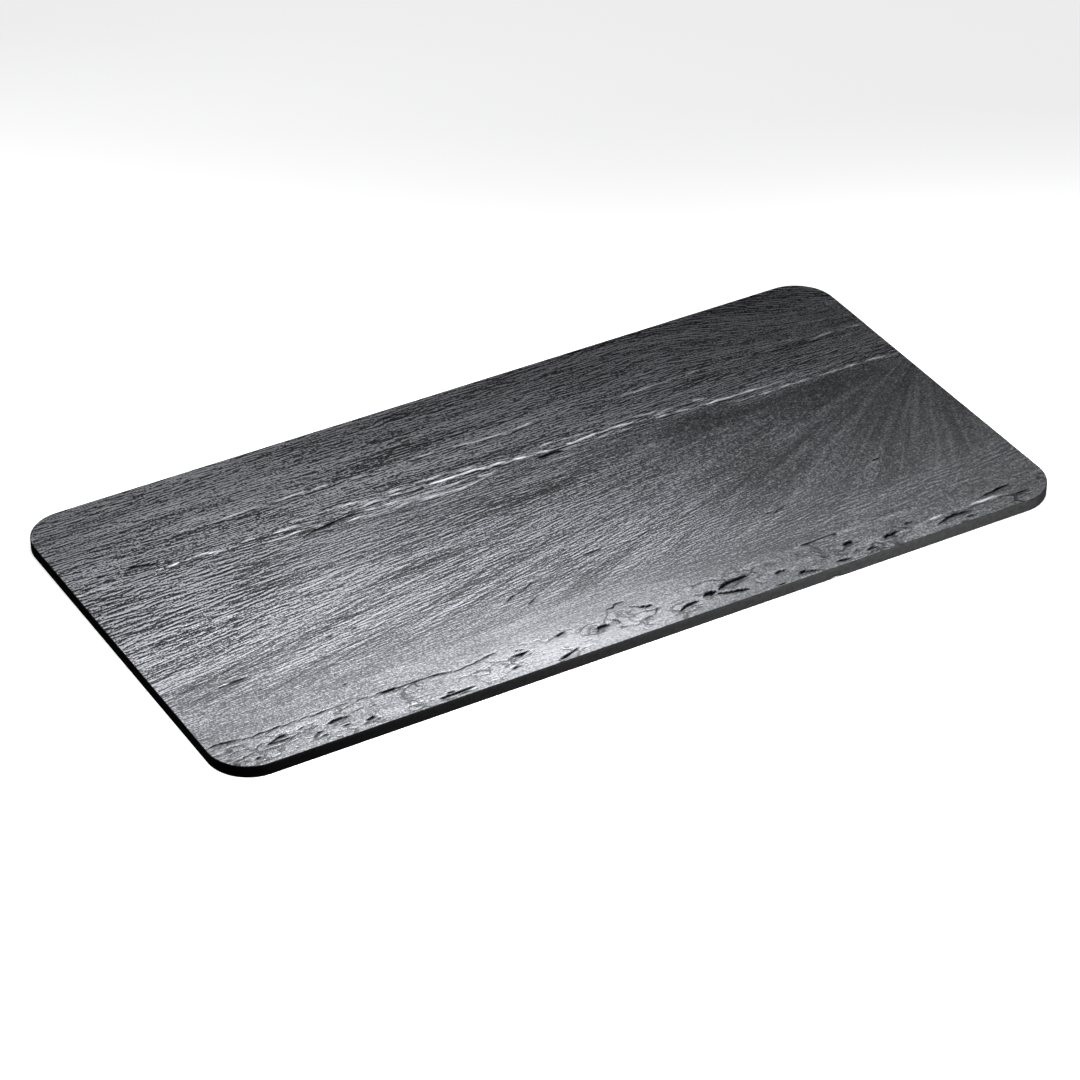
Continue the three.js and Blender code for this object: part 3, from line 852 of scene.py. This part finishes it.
def centred(value, times):
    """A noise less 0.5, times a number."""
    return calculate(riven, "MULTIPLY", calculate(riven, "SUBTRACT", value, 0.5), times)


fine = drawn_out(straight_pair, *FINE)
layered = streaks(*LAYERS)
broad = streaks(*BROAD)
rays = drawn_out(fan_pair, *RAYS)
# The sides are painted light and painted shade: each streak lit on one side and shaded on the other, by the
# difference of a noise and a shifted copy.
fine_painted_shading = calculate(riven, "SUBTRACT", fine, drawn_out(straight_pair, *FINE, FINE_SHIFT))
layer_painted_shading = calculate(riven, "SUBTRACT", layered, streaks(*LAYERS, LAYER_SHIFT))
print("with streaks:", len(riven.node_tree.nodes), "nodes")

# %% [markdown]
# ## Flecks and hairlines
#
# Towards the front edge and near the fan's centre the streaks give way to flecks without a direction.
# They are plain noise on Object coordinates, in sizes from grit to cloud. Beside the front edge the
# face is also covered with hairlines, finer than the modelled cracks. They could be thin grooves in
# the mesh, but the net is too coarse for them. So they are the borders of Voronoi cells, drawn out
# along the grain and bent by a noise, so that no cell looks like a cell.

# %% Where the streaks give way to flecks
SPECKLE_SCALE, FLECK_SCALE, BEND_SCALE, PATCH_SCALE, CLOUD_SCALE = 1100, 620, 150, 75, 24
FLECK_SHARE = 0.85


def spots(scale, detail, out=0, roughness=0.5):
    """Noise on Object coordinates, with `scale` spots to the metre."""
    inputs = {"Vector": here, "Scale": scale, "Detail": detail, "Roughness": roughness}
    return add_node(riven, "ShaderNodeTexNoise", inputs, out=out)


here = add_node(riven, "ShaderNodeTexCoord", out=3)
speckle = spots(SPECKLE_SCALE, 1.0)
flecks = spots(FLECK_SCALE, 4.0, roughness=0.7)
cloud = spots(CLOUD_SCALE, 3.0)
on_centre = calculate(riven, "MULTIPLY", near_centre, on_fan)
plain = calculate(riven, "MAXIMUM", on_centre, attribute(riven, "front_share"))
plain = calculate(riven, "MULTIPLY", plain, FLECK_SHARE)
grainy = mix_values(riven, plain, fine, flecks)
grainy_tone_and_painted_shading = mix_values(riven, plain, fine_painted_shading, centred(flecks, 0.8))
print("with flecks:", len(riven.node_tree.nodes), "nodes")

# %% Hairlines beside the front edge
CELL_SCALE = (0.09, 0.2, 1)
HAIR_RANGE = (0.02, 0.13, 1.0, 0.0)
PATCH_RANGE = (0.48, 0.6)

stretched = add_node(riven, "ShaderNodeMapping", {"Vector": straight_pair, "Scale": CELL_SCALE})
bend = spots(BEND_SCALE, 3.0, out=1)
warped = add_node(riven, "ShaderNodeVectorMath", {0: stretched, 1: bend}, operation="ADD")
cells = {"Vector": warped, "Scale": 1.0}
border = add_node(riven, "ShaderNodeTexVoronoi", cells, feature="DISTANCE_TO_EDGE")
hairline = between(riven, border, *HAIR_RANGE)
patches = between(riven, spots(PATCH_SCALE, 2.0), *PATCH_RANGE)
hairline = calculate(riven, "MULTIPLY", hairline, patches)
hairline = calculate(riven, "MULTIPLY", hairline, attribute(riven, "strip"))
print("with hairlines:", len(riven.node_tree.nodes), "nodes")

# %% [markdown]
# ## Relief, tone and sheen
#
# The same few patterns make all three, so that a streak is raised, light and glossy at once, as on
# stone. Bump alone would be simpler, but it fades where the lamps are large and soft, as here, so the
# lit and shaded sides of the streaks are painted into the tone: painted light and painted shade.
# Freshly broken lines are lighter stone, painted brighter still as a painted highlight. The dark
# sides of streaks, pits and cracks are painted shade and should have no sheen at all, and roughness
# only spreads it. A metal's sheen has the colour of its tone, though, so the metal share over a tone
# that is nearly black makes them dull at every angle. Near the front edge, where the sheen is
# brightest, a patch is painted paler: a painted highlight.

# %% Relief of the riven face
RELIEF_RANGE = (0.0, 2.2, 0.15, 1.4)

# The hollow attribute carries the painted shade of pits, cracks, chips and ledge feet.
crisp, hollow = attribute(riven, "crispness"), attribute(riven, "hollow")
relief = weighted_sum(riven, [(grainy, 0.5), (speckle, 0.25), (layered, 0.35), (broad, 0.15)])
relief = calculate(riven, "MULTIPLY", relief, between(riven, crisp, *RELIEF_RANGE))
relief = weighted_sum(riven, [(hollow, -0.3), (hairline, -0.3)], relief)
bump = add_node(riven, "ShaderNodeBump", {"Height": relief, "Distance": MM, "Strength": 1.0})
print("with relief:", len(riven.node_tree.nodes), "nodes")

# %% The pattern of tone, painted light and painted shade
PAINTED_LIGHT_DASH, PAINTED_SHADE_DASH = (0.08, 0.22), (-0.08, -0.22)

# Dashes lit on one side and shaded on the other: painted light and painted shade.
dashed = calculate(riven, "MULTIPLY_ADD", plain, -0.8, 1.0)
painted_light_dash = calculate(riven, "MULTIPLY", between(riven, layer_painted_shading, *PAINTED_LIGHT_DASH), dashed)
painted_shade_dash = calculate(riven, "MULTIPLY", between(riven, layer_painted_shading, *PAINTED_SHADE_DASH), dashed)
fan_rays = calculate(riven, "MULTIPLY", centred(rays, 0.25), on_fan)
# The pattern mixes the grain's own tone with the painted light and shade of the streak sides.
mixed = centred(speckle, 1.0)
for slow in centred(broad, 0.5), centred(cloud, 0.25), fan_rays:
    mixed = calculate(riven, "ADD", mixed, slow)
mixed = weighted_sum(riven, [
    (grainy_tone_and_painted_shading, 1.2), (hairline, -0.4), (painted_light_dash, 0.2), (painted_shade_dash, -0.25),
], mixed)
mixed = calculate(riven, "MULTIPLY", mixed, crisp)
print("with the pattern:", len(riven.node_tree.nodes), "nodes")

# %% Tone and sheen of the riven face
# The near black is the tone of painted shade.
PAINTED_SHADE_TONE = (0.002, 0.002, 0.0022, 1)
DARK = (0.003, 0.003, 0.0035, 1)
MIDDLE = (0.018, 0.0184, 0.0198, 1)
LIGHT = (0.15, 0.153, 0.161, 1)
# The brightest tone is lighter broken stone with a painted highlight.
FRESH_AND_HIGHLIGHT = (0.62, 0.625, 0.645, 1)
# The pale tone is a painted highlight.
PAINTED_HIGHLIGHT_TONE = (0.1, 0.101, 0.104, 1)
DARK_TO_MIDDLE, MIDDLE_TO_LIGHT = (-0.2, 0.0), (0.0, 0.3)
CLOUD_RANGE = (0.3, 0.7, 0.0, 0.2)
PAINTED_HIGHLIGHT_RANGE = (-0.2, 0.25, 0.3, 1.2)
SHEEN_RANGE = (-0.45, 0.35, 0.6, 0.28)
PAINTED_SHADE_DULLING_RANGE = (0.08, -0.5, 0.0, 0.85)

tone = blend_colours(riven, between(riven, mixed, *DARK_TO_MIDDLE), DARK, MIDDLE)
tone = blend_colours(riven, between(riven, mixed, *MIDDLE_TO_LIGHT), tone, LIGHT)
tone = blend_colours(riven, between(riven, cloud, *CLOUD_RANGE), tone, MIDDLE)
# Painted highlight: the patch where the sheen is brightest is painted paler.
painted_highlight_share = between(riven, mixed, *PAINTED_HIGHLIGHT_RANGE)
painted_highlight_share = calculate(riven, "MULTIPLY", attribute(riven, "pale"), painted_highlight_share)
tone = blend_colours(riven, painted_highlight_share, tone, PAINTED_HIGHLIGHT_TONE)
broken = attribute(riven, "broken")
# Broken lines: lighter stone, with a painted highlight on top.
tone = blend_colours(riven, broken, tone, FRESH_AND_HIGHLIGHT)
# Painted shade: pits, cracks, chips and the feet of ledges turn near black.
tone = blend_colours(riven, hollow, tone, PAINTED_SHADE_TONE)
sheen = mix_values(riven, hollow, between(riven, mixed, *SHEEN_RANGE), 1.0)
# Painted shade: the metal share over a near-black tone takes the sheen from the dark sides of streaks and
# from the hollows.
painted_shade_dulling = mix_values(riven, broken, between(riven, mixed, *PAINTED_SHADE_DULLING_RANGE), 0.0)
painted_shade_dulling = calculate(riven, "MAXIMUM", hollow, painted_shade_dulling)
connect(riven, tone, riven_shader, "Base Color")
connect(riven, bump, riven_shader, "Normal")
connect(riven, sheen, riven_shader, "Roughness")
connect(riven, painted_shade_dulling, riven_shader, "Metallic")
print("riven finish:", len(riven.node_tree.nodes), "nodes")

# %% [markdown]
# ## The ground edge
#
# Grinding leaves fine scratches along the edge and a dark, matt surface. The riven finish with another
# tone would look wrong here, because its grain lies in the layers and not across them. So the edge
# has a finish of its own: noise drawn out along the edge for the scratches, and grit.

# %% Ground slate
SCRATCH_SCALE = (60, 60, 1600)
GRIT_SCALE = 500
GRIND_DEPTH = 0.06 * MM
EDGE_DARK = (0.0036, 0.0036, 0.0034, 1)
EDGE_LIGHT = (0.007, 0.007, 0.0068, 1)

ground, ground_shader = stone("ground_slate", roughness=0.6, specular=0.04)
at_edge = add_node(ground, "ShaderNodeTexCoord", out=3)
flattened = add_node(ground, "ShaderNodeMapping", {"Vector": at_edge, "Scale": SCRATCH_SCALE})
scratches = add_node(ground, "ShaderNodeTexNoise", {"Vector": flattened, "Scale": 1.0, "Detail": 3.0})
grit = add_node(ground, "ShaderNodeTexNoise", {"Vector": at_edge, "Scale": GRIT_SCALE, "Detail": 3.0})
grinding = {"Height": calculate(ground, "ADD", scratches, grit), "Distance": GRIND_DEPTH, "Strength": 0.7}
edge_bump = add_node(ground, "ShaderNodeBump", grinding)
edge_tone = blend_colours(ground, between(ground, grit, 0.35, 0.65), EDGE_DARK, EDGE_LIGHT)
connect(ground, edge_tone, ground_shader, "Base Color")
connect(ground, edge_bump, ground_shader, "Normal")
print("ground finish:", len(ground.node_tree.nodes), "nodes")

# %% The slab takes its place
slab_mesh.materials.append(riven)
slab_mesh.materials.append(ground)
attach(slab, "root")
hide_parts(SLAB)
print("finishes:", slab_mesh.materials.keys())

# %% [markdown]
# ## The stage
#
# The slab lies on a plain pale floor. Lamps bright enough to make the floor white would burn out the
# stone, so the floor is lit from inside like a light table, and the shadow on it stays faint. The
# stone doesn't see the floor, because the real one has dark sides.

# %% The floor
FLOOR_HALF = 3.0
FLOOR_GLOW = 0.8

floor_mesh = bpy.data.meshes.new("floor")
floor_corners = [(-FLOOR_HALF, -FLOOR_HALF, 0), (FLOOR_HALF, -FLOOR_HALF, 0),
                 (FLOOR_HALF, FLOOR_HALF, 0), (-FLOOR_HALF, FLOOR_HALF, 0)]
floor_mesh.from_pydata(floor_corners, [], [(0, 1, 2, 3)])
floor = bpy.data.objects.new("floor", floor_mesh)
floor.visible_diffuse = False
floor.visible_glossy = False
bpy.context.scene.collection.objects.link(floor)
pale, pale_shader = stone("pale_floor", roughness=0.9, specular=0.1)
pale_shader.inputs["Base Color"].default_value = (0.9, 0.9, 0.9, 1)
pale_shader.inputs["Emission Color"].default_value = (1, 1, 1, 1)
pale_shader.inputs["Emission Strength"].default_value = FLOOR_GLOW
floor_mesh.materials.append(pale)
print("floor of", 2 * FLOOR_HALF, "m")

# %% [markdown]
# ## The lamps
#
# The sheen of the stone is the blurred reflection of soft lamps, so each lamp is placed by the point
# of the table where it is mirrored to the camera. From that point it stands a set distance away, in
# the direction in which a level surface sends the line of sight. Most points lie before the front
# edge and to the left of the slab, so the sheen is strongest there and dies away to the back right.
# One big lamp would be simpler, but it can't be bright at the front left and dim at the back right.
# The lamps are many and weak, so that the stone isn't burnt out when it is seen from behind. A last
# one is a narrow strip on the floor. It lights only the upright edge at the right.

# %% The lamps
MIRRORED = Vector((-to_camera.x, -to_camera.y, to_camera.z))
LAMP_DISTANCE = 0.45
LAMP_COLOUR = (0.975, 0.985, 1.02)
LAMP_SIZE = 0.16
LAMPS = [
    ("far_corner_lamp", (-0.34, -0.42), 2.6),
    ("far_left_lamp", (-0.22, -0.42), 4.0),
    ("far_middle_lamp", (-0.10, -0.42), 0.9),
    ("front_left_lamp", (-0.22, -0.30), 0.6),
    ("front_lamp", (-0.10, -0.30), 0.5),
    ("front_middle_lamp", (0.02, -0.30), 0.28),
    ("front_right_lamp", (0.14, -0.30), 0.38),
    ("left_lamp", (-0.22, -0.12), 0.25),
    ("back_lamp", (-0.10, 0.08), 0.05),
    ("back_left_lamp", (-0.34, 0.08), 0.23),
]


def add_lamp(name, place, towards, wide, high, power, spread=180):
    """Adds a rectangular soft lamp that shines in a direction, and that the camera itself can't see."""
    lamp_data = bpy.data.lights.new(name, "AREA")
    lamp_data.shape = "RECTANGLE"
    lamp_data.size = wide
    lamp_data.size_y = high
    lamp_data.energy = power
    lamp_data.color = LAMP_COLOUR
    lamp_data.spread = math.radians(spread)
    lamp = bpy.data.objects.new(name, lamp_data)
    lamp.location = place
    lamp.rotation_euler = towards.to_track_quat("-Z", "Y").to_euler()
    lamp.visible_camera = False
    bpy.context.scene.collection.objects.link(lamp)


for name, point, power in LAMPS:
    place = Vector((*point, 0)) + MIRRORED * LAMP_DISTANCE
    add_lamp(name, place, -MIRRORED, LAMP_SIZE, LAMP_SIZE, power)

print("lamps:", [name for name, point, power in LAMPS])

# %% The lamp on the floor and the light from all around
SIDE_LAMP_AT = Vector((0.17, -0.45, 0.003))
SIDE_LAMP_TO = Vector((0.13, -0.10, 0.003))
SIDE_LAMP_WIDE, SIDE_LAMP_HIGH = 0.12, 0.004
SIDE_LAMP_POWER = 1.9
SIDE_LAMP_SPREAD = 80
AROUND = 0.04

side_towards = SIDE_LAMP_TO - SIDE_LAMP_AT
add_lamp("side_lamp", SIDE_LAMP_AT, side_towards, SIDE_LAMP_WIDE, SIDE_LAMP_HIGH, SIDE_LAMP_POWER,
         SIDE_LAMP_SPREAD)
world = bpy.data.worlds.new("studio")
world.use_nodes = True
background = world.node_tree.nodes["Background"]
background.inputs["Color"].default_value = (1, 1, 1, 1)
background.inputs["Strength"].default_value = AROUND
bpy.context.scene.world = world
bpy.context.scene.view_settings.view_transform = "Standard"
print("side lamp", SIDE_LAMP_POWER, "W, light from all around", AROUND)
